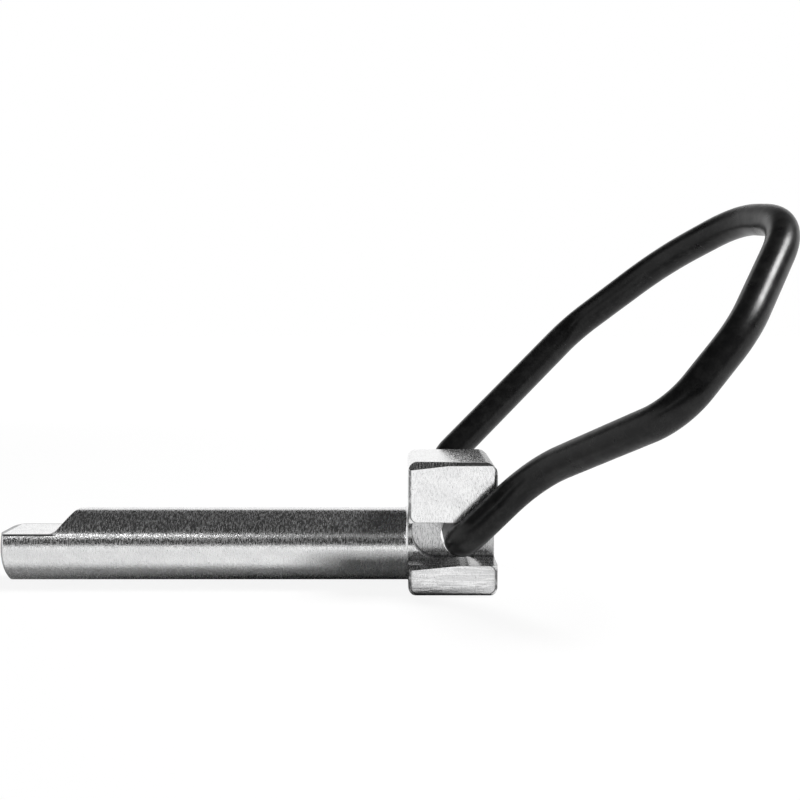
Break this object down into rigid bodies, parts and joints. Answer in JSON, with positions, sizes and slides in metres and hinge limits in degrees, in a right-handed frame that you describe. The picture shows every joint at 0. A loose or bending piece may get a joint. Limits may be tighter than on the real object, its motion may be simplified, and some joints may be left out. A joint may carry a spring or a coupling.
{
  "type": "wire lock pin",
  "caption": "Steel locking pin with an offset square head and a black sprung wire bail that swings over onto a flat at the tip",
  "frame": {"origin": "On the pin's axis, at the shoulder where the round pin meets the head", "axes": "-X points along the pin to its tip and +X to the head, +Z is the side of the seat flat, of the head's taller half and of the standing bail, and +Y completes the frame to the far side"},
  "size_m": [0.1064, 0.0536, 0.0525],
  "materials": {
    "zinc_steel": "bright zinc plate over machined steel, brushed marks and light scratches",
    "coated_wire": "smooth satin black coating over spring steel wire"
  },
  "bodies": {
    "pin_body": {"pin": "zinc_steel"},
    "bail": {"wire_loop": "coated_wire"}
  },
  "joints": [
    {"name": "bail_hinge", "type": "hinge", "parent": "pin_body", "child": "bail", "pos_m": [0.0069, 0, 0.00188], "axis": [0, -1, 0], "range_deg": [-217, 129.5]}
  ]
}
